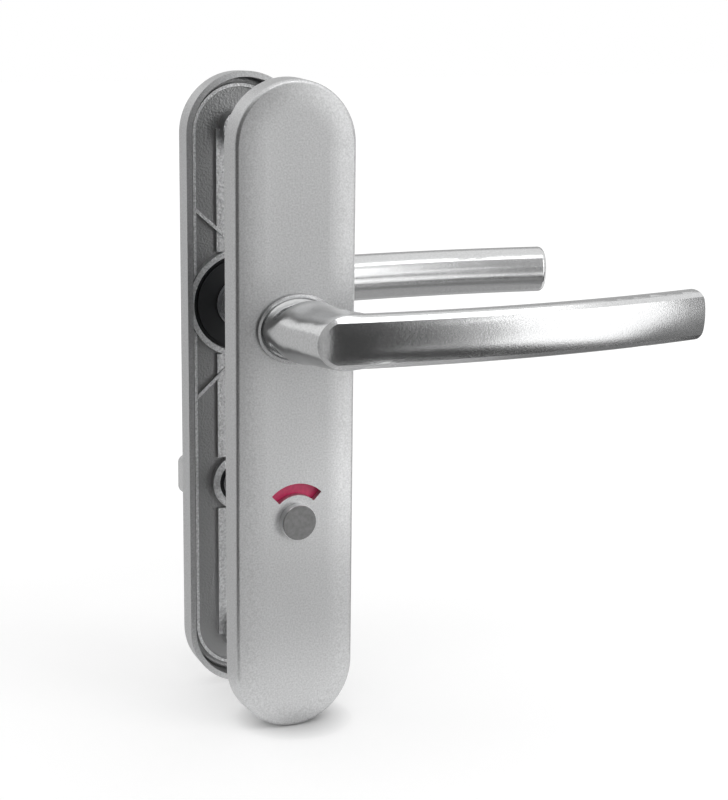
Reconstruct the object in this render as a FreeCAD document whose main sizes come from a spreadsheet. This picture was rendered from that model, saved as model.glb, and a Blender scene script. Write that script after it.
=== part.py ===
import FreeCAD, Part
import math
import os

import Sketcher

# A pair of lever handles on long round-ended plates, for a bathroom door.
# The origin is on the levers' turning axis, in the middle of the door's thickness.
# +X runs along the levers, +Z is up, and the outside of the door faces -Y.
# Each half is built on the outside (-Y) and measured by its depth from the door's face,
# and the pieces of the inside half are mirrored through the middle of the door.

os.makedirs("parts", exist_ok=True)
doc = FreeCAD.newDocument("door_handle_pair")

SIZES = {
    "door_thickness": 40.0,
    "lock_centres": 72.0,
    # plate: a cast shell, open towards the door
    "plate_width": 47.0,
    "plate_top": 88.8,
    "plate_foot": 153.4,
    "plate_depth": 11.2,
    "plate_wall": 2.2,
    "face_thickness": 2.4,
    "plate_draft": 2.0,
    "crown_width": 7.0,
    "crown_drop": 0.9,
    "crown_blend": 60.0,
    "edge_round": 1.5,
    "floor_round": 1.6,
    # ring, ribs and lands cast on the floor of the shell
    "border_inset": 4.9,
    "border_width": 1.2,
    "ring_inner": 18.9,
    "ring_outer": 21.0,
    "ring_rise": 2.8,
    "rib_width": 1.3,
    "rib_rise": 1.7,
    "rib_length": 24.0,
    "rib_slope": 41.5,
    "land_width": 18.0,
    "land_rise": 1.2,
    # how far one part of a casting runs into the next
    "casting_overlap": 1.0,
    # fixing screws, the bosses under their heads and the posts that they screw into
    "upper_inset": 22.0,
    "lower_inset": 18.2,
    "boss_radius": 7.5,
    "boss_rise": 5.5,
    "post_radius": 4.5,
    "post_reach": 12.0,
    "screw_radius": 2.0,
    "screw_head": 4.0,
    "screw_bite": 12.0,
    "screw_cross": 5.0,
    "screw_cross_width": 1.0,
    "screw_cross_depth": 1.0,
    "thread_play": 0.05,
    "hole_play": 0.25,
    # square spindles, with their reach from the door's face
    "spindle_square": 8.0,
    "spindle_reach": 30.0,
    "lock_square": 6.0,
    "lock_reach": 12.0,
    "turn_reach": 20.0,
    "square_play": 0.1,
    "socket_play": 0.6,
    "spindle_chamfer": 0.8,
    # lever journal and its bearing
    "journal_radius": 8.0,
    "bearing_play": 0.05,
    "running_gap": 0.3,
    "collar_wall": 2.4,
    "collar_play": 0.05,
    "collar_proud": 0.1,
    "cassette_radius": 17.2,
    "cassette_flange": 18.6,
    "cassette_depth": 2.2,
    "flange_thickness": 1.0,
    "washer_radius": 9.6,
    "washer_thickness": 0.5,
    "clip_thickness": 1.0,
    "clip_bite": 0.8,
    "clip_width": 1.7,
    "clip_opening": 25.0,
    "journal_end": 0.8,
    # return spring in the bearing
    "spring_wire": 0.6,
    "spring_coil": 12.6,
    "spring_room": 1.6,
    "spring_sweep": 300.0,
    "spring_start": 120.0,
    "spring_bite": 1.1,
    "spring_play": 0.2,
    "spring_inset": 0.8,
    "moving_slot_margin": 8.0,
    "fixed_slot_half_angle": 4.0,
    "notch_half_angle": 7.0,
    # lever
    "foot_width": 31.4,
    "foot_height": 25.6,
    "foot_plate": 1.2,
    "foot_step": 1.1,
    "foot_groove": 0.5,
    "foot_groove_width": 0.35,
    "neck_lean": 11.6,
    "neck_shift": 8.0,
    "neck_flare": 40.0,
    "grip_height": 19.5,
    "grip_thickness": 13.0,
    "grip_crown": 5.2,
    "shoulder_radius": 7.2,
    "facet_radius": 29.0,
    "grip_front": 39.0,
    "grip_middle": 75.0,
    "grip_start": 10.0,
    "grip_bow": 450.0,
    "lever_length": 153.8,
    "grip_end_round": 2.0,
    "bevel_front": 1.3,
    "bevel_back": 0.7,
    "facet_inset": 2.4,
    "bevel_slope": 32.0,
    "front_margin": 20.0,
    "neck_bite": 0.2,
    "neck_overrun": 0.6,
    "neck_cover": 0.1,
    "lever_travel": 40.0,
    "grub_radius": 2.5,
    "grub_inset": 3.75,
    "grub_socket": 1.4,
    "grub_place": 10.0,
    # release button and indicator
    "button_radius": 6.75,
    "button_proud": 3.0,
    "button_shank": 5.4,
    "button_round": 0.6,
    "window_inner": 9.8,
    "window_outer": 14.2,
    "window_half_angle": 44.0,
    "indicator_radius": 16.0,
    "indicator_thickness": 1.1,
    "label_thickness": 0.2,
    "label_margin": 0.8,
    "label_half_angle": 45.0,
    "hood_wall": 1.2,
    "hood_rise": 2.2,
    "small_clip": 0.8,
    "shank_end": 1.0,
    # thumb turn
    "turn_boss": 11.4,
    "turn_boss_rise": 2.3,
    "bush_radius": 8.6,
    "turn_shank": 6.5,
    "turn_rose": 11.0,
    "turn_rose_depth": 2.4,
    "turn_neck": 6.0,
    "wing_length": 38.4,
    "wing_height": 15.6,
    "wing_depth": 8.0,
    "wing_corner": 3.0,
    "wing_round": 1.6,
    "turn_grub_radius": 1.5,
    "turn_grub_length": 3.0,
    "turn_grub_socket": 0.85,
}

sheet = doc.addObject("Spreadsheet::Sheet", "Sizes")
for row, (word, value) in enumerate(SIZES.items(), start=1):
    sheet.set(f"A{row}", word)
    sheet.set(f"B{row}", str(value))
    sheet.setAlias(f"B{row}", word)
doc.recompute()


def size(word):
    """The value of one named size."""
    return float(getattr(sheet, word))


def depth(formula):
    """A sketch plane's offset: formula is the depth from the door's outside face."""
    return f"Sizes.door_thickness / 2 + ({formula})"


FLOOR = "Sizes.plate_depth - Sizes.face_thickness"
FACE = "Sizes.plate_depth"
LOCK_HEIGHT = "-Sizes.lock_centres"


def new_body(name):
    body = doc.addObject("PartDesign::Body", name)
    body.Label = name
    return body


def new_sketch(body, name, offset, height="0", plane="XZ_Plane", across="0", turn=0.0):
    """A sketch on one of the body's own origin planes, moved along and in that plane."""
    sketch = body.newObject("Sketcher::SketchObject", name)
    support = next(f for f in body.Origin.OriginFeatures if f.Role == plane)
    sketch.AttachmentSupport = [(support, "")]
    sketch.MapMode = "FlatFace"
    sketch.AttachmentOffset = FreeCAD.Placement(
        FreeCAD.Vector(0, 0, 0), FreeCAD.Rotation(FreeCAD.Vector(0, 0, 1), turn)
    )
    sketch.setExpression("AttachmentOffset.Base.x", across)
    sketch.setExpression("AttachmentOffset.Base.y", height)
    sketch.setExpression("AttachmentOffset.Base.z", offset)
    return sketch


def constrain(sketch, kind, *targets):
    return sketch.addConstraint(Sketcher.Constraint(kind, *targets))


def measure(sketch, name, formula, kind, *targets):
    """A constraint whose value is a formula of the named sizes."""
    index = constrain(sketch, kind, *targets)
    sketch.renameConstraint(index, name)
    sketch.setExpression(f"Constraints.{name}", formula)


def draw_circle(sketch, name, radius):
    """A circle about the sketch's origin."""
    circle = Part.Circle(FreeCAD.Vector(0, 0, 0), FreeCAD.Vector(0, 0, 1), 5.0)
    index = sketch.addGeometry(circle)
    constrain(sketch, "Coincident", index, 3, -1, 1)
    measure(sketch, name, radius, "Radius", index, 5.0)


def draw_rectangle(sketch, width, height):
    """A rectangle about the sketch's origin."""
    corners = [FreeCAD.Vector(x, y, 0) for x, y in ((-5, -4), (5, -4), (5, 4), (-5, 4))]
    first = sketch.GeometryCount
    for start, end in zip(corners, corners[1:] + corners[:1]):
        sketch.addGeometry(Part.LineSegment(start, end))
    for side in range(4):
        constrain(sketch, "Coincident", first + side, 2, first + (side + 1) % 4, 1)
        constrain(sketch, "Vertical" if side % 2 else "Horizontal", first + side)
    constrain(sketch, "Symmetric", first, 1, first + 2, 1, -1, 1)
    measure(sketch, "width", width, "DistanceX", first, 1, first, 2, 10.0)
    measure(sketch, "height", height, "DistanceY", first + 1, 1, first + 1, 2, 8.0)


def draw_stadium(sketch, inset, name="edge"):
    """The plate's round-ended outline, smaller all round by an inset."""
    radius = f"(Sizes.plate_width / 2 - ({inset}))"
    up = FreeCAD.Vector(0, 0, 1)
    first = sketch.GeometryCount
    high, low, end = 60.0, -120.0, 20.0
    ends = [
        Part.ArcOfCircle(Part.Circle(FreeCAD.Vector(0, high, 0), up, end), 0, math.pi),
        Part.ArcOfCircle(Part.Circle(FreeCAD.Vector(0, low, 0), up, end), math.pi, 2 * math.pi),
    ]
    sketch.addGeometry(ends[0])
    sketch.addGeometry(Part.LineSegment(FreeCAD.Vector(-end, high, 0), FreeCAD.Vector(-end, low, 0)))
    sketch.addGeometry(ends[1])
    sketch.addGeometry(Part.LineSegment(FreeCAD.Vector(end, low, 0), FreeCAD.Vector(end, high, 0)))
    for side in range(4):
        constrain(sketch, "Tangent", first + side, 2, first + (side + 1) % 4, 1)
    constrain(sketch, "Vertical", first + 1)
    constrain(sketch, "Vertical", first + 3)
    constrain(sketch, "PointOnObject", first, 3, -2)
    measure(sketch, f"{name}_radius", radius, "Radius", first, end)
    upper = "Sizes.plate_top - Sizes.plate_width / 2"
    measure(sketch, f"{name}_upper", upper, "DistanceY", -1, 1, first, 3, high)
    lower = "Sizes.plate_foot - Sizes.plate_width / 2"
    measure(sketch, f"{name}_lower", lower, "DistanceY", first + 2, 3, -1, 1, -low)


def draw_ring_sector(sketch, inner, outer, half_angle, middle=90.0):
    """Part of a ring about the origin, spread to both sides of the direction called middle."""
    up = FreeCAD.Vector(0, 0, 1)
    centre = FreeCAD.Vector(0, 0, 0)
    start, end = math.radians(middle - 40), math.radians(middle + 40)
    sketch.addGeometry(Part.ArcOfCircle(Part.Circle(centre, up, 6.0), start, end))
    sketch.addGeometry(Part.ArcOfCircle(Part.Circle(centre, up, 9.0), start, end))
    for angle in (start, end):
        ray = FreeCAD.Vector(math.cos(angle), math.sin(angle), 0)
        sketch.addGeometry(Part.LineSegment(ray * 6.0, ray * 9.0))
    for arc in (0, 1):
        constrain(sketch, "Coincident", arc, 3, -1, 1)
        constrain(sketch, "Coincident", arc, 1, 2, 1 + arc)
        constrain(sketch, "Coincident", arc, 2, 3, 1 + arc)
    for ray in (2, 3):
        constrain(sketch, "PointOnObject", -1, 1, ray)
    measure(sketch, "inner", inner, "Radius", 0, 6.0)
    measure(sketch, "outer", outer, "Radius", 1, 9.0)
    measure(sketch, "first_side", f"({middle} - {half_angle}) * 1 deg", "Angle", 2, start)
    measure(sketch, "second_side", f"({middle} + {half_angle}) * 1 deg", "Angle", 3, end)


def add_pad(body, sketch, length, outward=True, draft=None):
    """Material from the sketch, away from the door or back towards it."""
    feature = body.newObject("PartDesign::Pad", f"{sketch.Name}_pad")
    feature.Profile = sketch
    feature.Reversed = not outward
    feature.setExpression("Length", length)
    if draft is not None:
        feature.setExpression("TaperAngle", draft)
    return feature


def add_pocket(body, sketch, length, outward=False, draft=None):
    """A cut from the sketch towards the door, or away from it."""
    feature = body.newObject("PartDesign::Pocket", f"{sketch.Name}_pocket")
    feature.Profile = sketch
    feature.Reversed = outward
    feature.setExpression("Length", length)
    if draft is not None:
        feature.setExpression("TaperAngle", draft)
    doc.recompute()
    before = feature.BaseFeature.Shape.Volume
    if before - feature.Shape.Volume < 1e-3:
        raise ValueError(f"{feature.Name} cuts nothing")
    return feature


def edges_at(feature, depth_from_face, slack=0.05):
    """Names of the feature's edges that lie at one depth outside the door's outside face."""
    doc.recompute()
    place = -(size("door_thickness") / 2 + depth_from_face)
    return [
        f"Edge{number}"
        for number, edge in enumerate(feature.Shape.Edges, start=1)
        if abs(edge.BoundBox.YMin - place) < slack and abs(edge.BoundBox.YMax - place) < slack
    ]


def add_fillet(body, base, edges, radius):
    feature = body.newObject("PartDesign::Fillet", f"{base.Name}_round")
    feature.Base = (base, edges)
    feature.setExpression("Radius", radius)
    return feature


def mirror_inside(outside, name):
    """The same piece on the other side of the door."""
    feature = doc.addObject("Part::Mirroring", name)
    feature.Label = name
    feature.Source = outside
    feature.Normal = FreeCAD.Vector(0, 1, 0)
    feature.Base = FreeCAD.Vector(0, 0, 0)
    return feature


def combine(kind, name, base, tool):
    """A boolean of two objects: kind is Cut, Fuse or Common."""
    feature = doc.addObject(f"Part::{kind}", name)
    feature.Label = name
    feature.Base = base
    feature.Tool = tool
    return feature


def plate_shell(name, lock_clear):
    """The cast shell that both plates start from: outer form, cavity, ribs, ring and lands."""
    body = new_body(name)
    outline = new_sketch(body, f"{name}_outline", depth("0"))
    draw_stadium(outline, "0")
    blank = add_pad(body, outline, FACE, draft="-Sizes.plate_draft")

    crown = body.newObject("PartDesign::Chamfer", f"{name}_crown")
    crown.Base = (blank, edges_at(blank, size("plate_depth")))
    crown.ChamferType = "Two distances"
    crown.setExpression("Size", "Sizes.crown_drop")
    crown.setExpression("Size2", "Sizes.crown_width")
    blend = add_fillet(body, crown, edges_at(crown, size("plate_depth")), "Sizes.crown_blend")
    shoulder = edges_at(blend, size("plate_depth") - size("crown_drop"))
    add_fillet(body, blend, shoulder, "Sizes.edge_round")

    cavity = new_sketch(body, f"{name}_cavity", depth("0"))
    draw_stadium(cavity, "Sizes.plate_wall")
    hollow = add_pocket(body, cavity, FLOOR, outward=True, draft="-Sizes.plate_draft")
    floor_edges = edges_at(hollow, size("plate_depth") - size("face_thickness"))
    add_fillet(body, hollow, floor_edges, "Sizes.floor_round")

    border = new_sketch(body, f"{name}_border", depth(FLOOR))
    draw_stadium(border, "Sizes.border_inset", "outer")
    draw_stadium(border, "Sizes.border_inset + Sizes.border_width", "inner")
    add_pad(body, border, "Sizes.rib_rise", outward=False)

    ring = new_sketch(body, f"{name}_ring", depth(FLOOR))
    draw_circle(ring, "outer", "Sizes.ring_outer")
    draw_circle(ring, "inner", "Sizes.ring_inner")
    add_pad(body, ring, "Sizes.ring_rise", outward=False)

    slope = size("rib_slope")
    for number, angle in enumerate((slope, 180 - slope, -slope, slope - 180), start=1):
        side = "" if angle > 0 else "-"
        rib = new_sketch(
            body,
            f"{name}_rib_{number}",
            depth(FLOOR),
            across=f"Sizes.rib_length / 2 * cos({angle} * 1 deg)",
            height=f"{side}Sizes.ring_outer + Sizes.rib_length / 2 * sin({angle} * 1 deg)",
            turn=angle,
        )
        draw_rectangle(rib, "Sizes.rib_length", "Sizes.rib_width")
        add_pad(body, rib, "Sizes.rib_rise", outward=False)

    lock_edge = f"({lock_clear} - Sizes.casting_overlap)"
    lands = {
        "upper": ("Sizes.ring_outer - Sizes.casting_overlap", SCREW_HEIGHTS["upper"]),
        "middle": (f"{LOCK_HEIGHT} + {lock_edge}", "Sizes.casting_overlap - Sizes.ring_outer"),
        "lower": (SCREW_HEIGHTS["lower"], f"{LOCK_HEIGHT} - {lock_edge}"),
    }
    for place, (low, high) in lands.items():
        land = new_sketch(
            body, f"{name}_land_{place}", depth(FLOOR), height=f"({low} + {high}) / 2"
        )
        draw_rectangle(land, "Sizes.land_width", f"{high} - ({low})")
        add_pad(body, land, "Sizes.land_rise", outward=False)

    add_hole(body, f"{name}_bearing_seat", "0", "Sizes.ring_inner", "0", FLOOR)
    add_hole(body, f"{name}_lever_hole", "0", COLLAR, "0", FACE)
    return body


def add_boss(body, name, height, radius, foot, reach):
    """A round boss on the floor of the shell, standing towards the door."""
    boss = new_sketch(body, name, depth(foot), height=height)
    draw_circle(boss, "radius", radius)
    return add_pad(body, boss, reach, outward=False)


def add_hole(body, name, height, radius, start, length, outward=True):
    """A round hole on the plate's centre line."""
    hole = new_sketch(body, name, depth(start), height=height)
    draw_circle(hole, "radius", radius)
    return add_pocket(body, hole, length, outward=outward)


def make_outside_plate():
    """The outside plate: window and hole for the button, and two threaded posts."""
    hood_inner = "Sizes.indicator_radius + Sizes.running_gap"
    hood_outer = f"{hood_inner} + Sizes.hood_wall"
    body = plate_shell("outside_plate", hood_outer)

    hood = new_sketch(body, "indicator_hood", depth(FLOOR), height=LOCK_HEIGHT)
    draw_circle(hood, "outer", hood_outer)
    draw_circle(hood, "inner", hood_inner)
    add_pad(body, hood, "Sizes.hood_rise", outward=False)

    add_hole(body, "button_hole", LOCK_HEIGHT, BUTTON_HOLE, "0", FACE)
    window = new_sketch(body, "window", depth("0"), height=LOCK_HEIGHT)
    draw_ring_sector(
        window, "Sizes.window_inner", "Sizes.window_outer", "Sizes.window_half_angle"
    )
    add_pocket(body, window, FACE, outward=True)

    for place, height in SCREW_HEIGHTS.items():
        reach = f"{FLOOR} + Sizes.post_reach"
        add_boss(body, f"post_{place}", height, "Sizes.post_radius", FLOOR, reach)
        thread = "Sizes.screw_radius + Sizes.thread_play"
        drilled = "Sizes.screw_bite + Sizes.post_radius"
        end = "-Sizes.post_reach"
        add_hole(body, f"thread_{place}", height, thread, end, drilled)
    return body


def make_inside_plate():
    """The inside plate, as it would be outside: countersunk bosses and the turn's boss."""
    body = plate_shell("inside_plate_mirrored", "Sizes.turn_boss")
    add_boss(body, "turn_boss", LOCK_HEIGHT, "Sizes.turn_boss", FLOOR, "Sizes.turn_boss_rise")
    add_hole(body, "turn_hole", LOCK_HEIGHT, "Sizes.bush_radius", "0", FACE)
    for place, height in SCREW_HEIGHTS.items():
        add_boss(body, f"boss_{place}", height, "Sizes.boss_radius", FLOOR, "Sizes.boss_rise")
        hole = add_hole(body, f"clearance_{place}", height, SCREW_HOLE, "0", FACE)
        rim = [
            name
            for name in edges_at(hole, size("plate_depth"))
            if is_circle(hole.Shape.getElement(name), size("screw_radius") + size("hole_play"))
            and abs(hole.Shape.getElement(name).CenterOfMass.z - screw_place(place)) < 1.0
        ]
        sink = body.newObject("PartDesign::Chamfer", f"countersink_{place}")
        sink.Base = (hole, rim)
        sink.setExpression("Size", "Sizes.screw_head - Sizes.screw_radius")
    return mirror_inside(body, "inside_plate")


def is_circle(edge, radius):
    return hasattr(edge.Curve, "Radius") and abs(edge.Curve.Radius - radius) < 1e-4


def screw_place(place):
    if place == "upper":
        return size("plate_top") - size("upper_inset")
    return size("lower_inset") - size("plate_foot")


def ring_piece(name, inner, outer, start, thickness, height="0"):
    """A flat ring, lying outward from the depth called start."""
    body = new_body(name)
    ring = new_sketch(body, f"{name}_ring", depth(start), height=height)
    draw_circle(ring, "outer", outer)
    draw_circle(ring, "inner", inner)
    add_pad(body, ring, thickness)
    return body


def clip_piece(name, inner, start, thickness, height="0"):
    """A retaining clip: an open ring, with its opening at the bottom."""
    body = new_body(name)
    ring = new_sketch(body, f"{name}_ring", depth(start), height=height)
    outer = f"{inner} + Sizes.clip_width"
    draw_ring_sector(ring, inner, outer, "(180 - Sizes.clip_opening)")
    add_pad(body, ring, thickness)
    return body


def make_bearing():
    """The plastic bearing: a cassette in the ring and a collar through the plate."""
    body = new_body("outside_bearing")
    layers = {
        "flange": ("Sizes.cassette_flange", "Sizes.flange_thickness", False),
        "cassette": ("Sizes.cassette_radius", "Sizes.cassette_depth", False),
        "collar": (
            f"{COLLAR} - Sizes.collar_play",
            "Sizes.face_thickness + Sizes.collar_proud",
            True,
        ),
    }
    for name, (radius, length, outward) in layers.items():
        layer = new_sketch(body, f"bearing_{name}", depth(FLOOR))
        draw_circle(layer, "radius", radius)
        add_pad(body, layer, length, outward=outward)
    bore = "Sizes.journal_radius + Sizes.bearing_play"
    add_hole(body, "bearing_bore", "0", bore, "0", f"{FACE} + Sizes.casting_overlap")

    groove = new_sketch(body, "spring_groove", depth(FLOOR))
    draw_circle(groove, "outer", "Sizes.spring_coil + Sizes.spring_room")
    draw_circle(groove, "inner", "Sizes.spring_coil - Sizes.spring_room")
    add_pocket(body, groove, GROOVE_DEPTH)

    travel = size("lever_travel")
    start, end = size("spring_start"), size("spring_start") + size("spring_sweep") - 360
    inner_slot = new_sketch(body, "moving_leg_slot", depth(FLOOR))
    draw_ring_sector(
        inner_slot,
        "Sizes.journal_radius",
        "Sizes.spring_coil",
        "(Sizes.lever_travel / 2 + Sizes.moving_slot_margin)",
        middle=start - travel / 2,
    )
    add_pocket(body, inner_slot, GROOVE_DEPTH)
    outer_slot = new_sketch(body, "fixed_leg_slot", depth(FLOOR))
    draw_ring_sector(
        outer_slot,
        "Sizes.spring_coil",
        f"{SPRING_TIP} + Sizes.spring_play",
        "Sizes.fixed_slot_half_angle",
        middle=end,
    )
    add_pocket(body, outer_slot, GROOVE_DEPTH)
    return body


def place_along_y(item, y_formula, z_formula="0", x_formula="0", turn=0.0):
    """Turn a primitive so that its own +Z points to -Y, and bind its place."""
    lay_down = FreeCAD.Rotation(FreeCAD.Vector(1, 0, 0), 90)
    spin = FreeCAD.Rotation(FreeCAD.Vector(0, 0, 1), turn)
    item.Placement = FreeCAD.Placement(FreeCAD.Vector(0, 0, 0), lay_down.multiply(spin))
    item.setExpression("Placement.Base.x", x_formula)
    item.setExpression("Placement.Base.y", y_formula)
    item.setExpression("Placement.Base.z", z_formula)


def make_cylinder(name, radius, length, y_formula, z_formula="0"):
    """A round bar that runs from y_formula towards -Y."""
    item = doc.addObject("Part::Cylinder", name)
    item.setExpression("Radius", radius)
    item.setExpression("Height", length)
    place_along_y(item, y_formula, z_formula)
    return item


def make_square(name, side, low, high, height="0"):
    """A square bar along Y, from low to high."""
    item = doc.addObject("Part::Box", name)
    item.setExpression("Length", side)
    item.setExpression("Width", f"{high} - ({low})")
    item.setExpression("Height", side)
    item.setExpression("Placement.Base.x", f"-({side}) / 2")
    item.setExpression("Placement.Base.y", low)
    item.setExpression("Placement.Base.z", f"{height} - ({side}) / 2")
    return item


def make_spring():
    """The return spring: an open coil with one leg in the bearing and one in the journal."""
    middle = f"-({depth(FLOOR)} - {GROOVE_DEPTH} / 2)"
    start = size("spring_start")
    coil = doc.addObject("Part::Torus", "spring_coil_wire")
    coil.setExpression("Radius1", "Sizes.spring_coil")
    coil.setExpression("Radius2", "Sizes.spring_wire")
    coil.setExpression("Angle3", "Sizes.spring_sweep")
    place_along_y(coil, middle, turn=start)
    whole = coil
    legs = {
        "moving": (start, "Sizes.journal_radius - Sizes.spring_bite", "Sizes.spring_coil"),
        "fixed": (start + size("spring_sweep"), "Sizes.spring_coil", SPRING_TIP),
    }
    for name, (angle, near, far) in legs.items():
        across, up = math.cos(math.radians(angle)), math.sin(math.radians(angle))
        leg = doc.addObject("Part::Cylinder", f"spring_{name}_leg")
        leg.setExpression("Radius", "Sizes.spring_wire")
        leg.setExpression("Height", f"{far} - ({near})")
        leg.Placement.Rotation = FreeCAD.Rotation(
            FreeCAD.Vector(0, 0, 1), FreeCAD.Vector(across, 0, up)
        )
        leg.setExpression("Placement.Base.x", f"({near}) * {across}")
        leg.setExpression("Placement.Base.y", middle)
        leg.setExpression("Placement.Base.z", f"({near}) * {up}")
        knee = doc.addObject("Part::Sphere", f"spring_{name}_knee")
        knee.setExpression("Radius", "Sizes.spring_wire")
        knee.setExpression("Placement.Base.x", f"Sizes.spring_coil * {across}")
        knee.setExpression("Placement.Base.y", middle)
        knee.setExpression("Placement.Base.z", f"Sizes.spring_coil * {up}")
        bend = combine("Fuse", f"spring_{name}_bend", leg, knee)
        whole = combine("Fuse", f"spring_with_{name}_leg", whole, bend)
    whole.Label = "outside_return_spring"
    return whole


def grip_offset(point_depth):
    """A place across the grip's section, measured from the centre of its bow."""
    return f"-(Sizes.grip_bow - ({point_depth}))"


def revolve_about_bow(body, sketch, left, right):
    """Turn a section about the centre of the bow, by two angles from the grip's middle."""
    feature = body.newObject("PartDesign::Revolution", f"{sketch.Name}_turned")
    feature.Profile = sketch
    feature.ReferenceAxis = (sketch, ["V_Axis"])
    feature.Type = "TwoAngles"
    feature.setExpression("Angle", right)
    feature.setExpression("Angle2", left)
    return feature


def bow_sketch(body, name):
    """A sketch across the middle of the grip, with its origin at the centre of the bow."""
    bow_centre = f"Sizes.grip_bow - ({depth(FACE)} + Sizes.grip_front)"
    return new_sketch(body, name, "Sizes.grip_middle", plane="YZ_Plane", across=bow_centre)


def make_grip():
    """The grip before its front is flattened: a rounded bar bent to a shallow bow."""
    body = new_body("grip_bar")
    section = bow_sketch(body, "grip_section")
    bow, crown = size("grip_bow"), size("grip_crown")
    half, corner = size("grip_height") / 2, size("shoulder_radius")
    thick = size("grip_thickness")
    rise = half - corner
    gap = thick - crown - corner
    back = (rise**2 + gap**2) / (2 * gap) + corner
    back_formula = (
        "((Sizes.grip_height / 2 - Sizes.shoulder_radius)^2"
        " + (Sizes.grip_thickness - Sizes.grip_crown - Sizes.shoulder_radius)^2)"
        " / (2 * (Sizes.grip_thickness - Sizes.grip_crown - Sizes.shoulder_radius))"
        " + Sizes.shoulder_radius"
    )
    up = FreeCAD.Vector(0, 0, 1)
    shoulder_x, back_x = crown - bow, thick - back - bow
    lean = math.atan2(rise, shoulder_x - back_x)
    upper = Part.Circle(FreeCAD.Vector(shoulder_x, rise, 0), up, corner)
    lower = Part.Circle(FreeCAD.Vector(shoulder_x, -rise, 0), up, corner)
    rear = Part.Circle(FreeCAD.Vector(back_x, 0, 0), up, back)
    front_x = shoulder_x - corner
    section.addGeometry(Part.ArcOfCircle(upper, lean, math.pi))
    section.addGeometry(
        Part.LineSegment(FreeCAD.Vector(front_x, rise, 0), FreeCAD.Vector(front_x, -rise, 0))
    )
    section.addGeometry(Part.ArcOfCircle(lower, math.pi, 2 * math.pi - lean))
    section.addGeometry(Part.ArcOfCircle(rear, -lean, lean))
    for piece in range(4):
        constrain(section, "Tangent", piece, 2, (piece + 1) % 4, 1)
    constrain(section, "Vertical", 1)
    constrain(section, "Symmetric", 0, 3, 2, 3, -1)
    crown_place = grip_offset("Sizes.grip_crown")
    measure(section, "crown", f"-({crown_place})", "DistanceX", 0, 3, -1, 1, -shoulder_x)
    measure(
        section,
        "shoulder_rise",
        "Sizes.grip_height / 2 - Sizes.shoulder_radius",
        "DistanceY",
        -1, 1, 0, 3,
        rise,
    )
    measure(section, "shoulder", "Sizes.shoulder_radius", "Radius", 0, corner)
    measure(section, "back", back_formula, "Radius", 3, back)
    start = "asin((Sizes.grip_middle - Sizes.grip_start) / Sizes.grip_bow)"
    end = "asin((Sizes.lever_length - Sizes.grip_middle) / Sizes.grip_bow)"
    bar = revolve_about_bow(body, section, start, end)
    doc.recompute()
    tip = max(edge.CenterOfMass.x for edge in bar.Shape.Edges)
    end_edges = [
        f"Edge{number}"
        for number, edge in enumerate(bar.Shape.Edges, start=1)
        if edge.CenterOfMass.x > tip - size("shoulder_radius")
        and edge.BoundBox.XLength < size("shoulder_radius")
    ]
    add_fillet(body, bar, end_edges, "Sizes.grip_end_round")
    return body


def make_front_envelope():
    """Everything behind the lever's flattened front and its upper and lower bevel."""
    body = new_body("front_envelope")
    outline = bow_sketch(body, "front_outline")
    bow, facet = size("grip_bow"), size("facet_radius")
    ridge = size("grip_height") / 2 - size("facet_inset")
    slope = math.radians(size("bevel_slope"))
    back = size("grip_front") + size("front_margin")
    up = FreeCAD.Vector(0, 0, 1)
    half_angle = math.asin(ridge / facet)
    centre = FreeCAD.Vector(facet - bow, 0, 0)
    edge_x = facet - bow - facet * math.cos(half_angle)
    back_x = back - bow
    reach = ridge + (back_x - edge_x) / math.tan(slope)
    outline.addGeometry(
        Part.ArcOfCircle(
            Part.Circle(centre, up, facet), math.pi - half_angle, math.pi + half_angle
        )
    )
    corners = [(edge_x, -ridge), (back_x, -reach), (back_x, reach), (edge_x, ridge)]
    for (x1, y1), (x2, y2) in zip(corners, corners[1:]):
        outline.addGeometry(
            Part.LineSegment(FreeCAD.Vector(x1, y1, 0), FreeCAD.Vector(x2, y2, 0))
        )
    for piece in range(4):
        constrain(outline, "Coincident", piece, 2, (piece + 1) % 4, 1)
    measure(outline, "facet", "Sizes.facet_radius", "Radius", 0, facet)
    centre_place = f"-({grip_offset('Sizes.facet_radius')})"
    measure(outline, "centre", centre_place, "DistanceX", 0, 3, -1, 1, bow - facet)
    ridge_place = "Sizes.grip_height / 2 - Sizes.facet_inset"
    measure(outline, "ridge", ridge_place, "DistanceY", -1, 1, 0, 1, ridge)
    constrain(outline, "Symmetric", 0, 1, 0, 2, -1)
    constrain(outline, "Symmetric", 2, 1, 2, 2, -1)
    lean = "(Sizes.bevel_slope - 90) * 1 deg"
    measure(outline, "bevel", lean, "Angle", 1, slope - math.pi / 2)
    back_place = f"-({grip_offset('Sizes.grip_front + Sizes.front_margin')})"
    measure(outline, "back", back_place, "DistanceX", 2, 1, -1, 1, -back_x)
    left = "asin((Sizes.grip_middle + Sizes.foot_width) / Sizes.grip_bow)"
    right = "asin((Sizes.lever_length + Sizes.front_margin - Sizes.grip_middle) / Sizes.grip_bow)"
    revolve_about_bow(body, outline, left, right)
    return body


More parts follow.
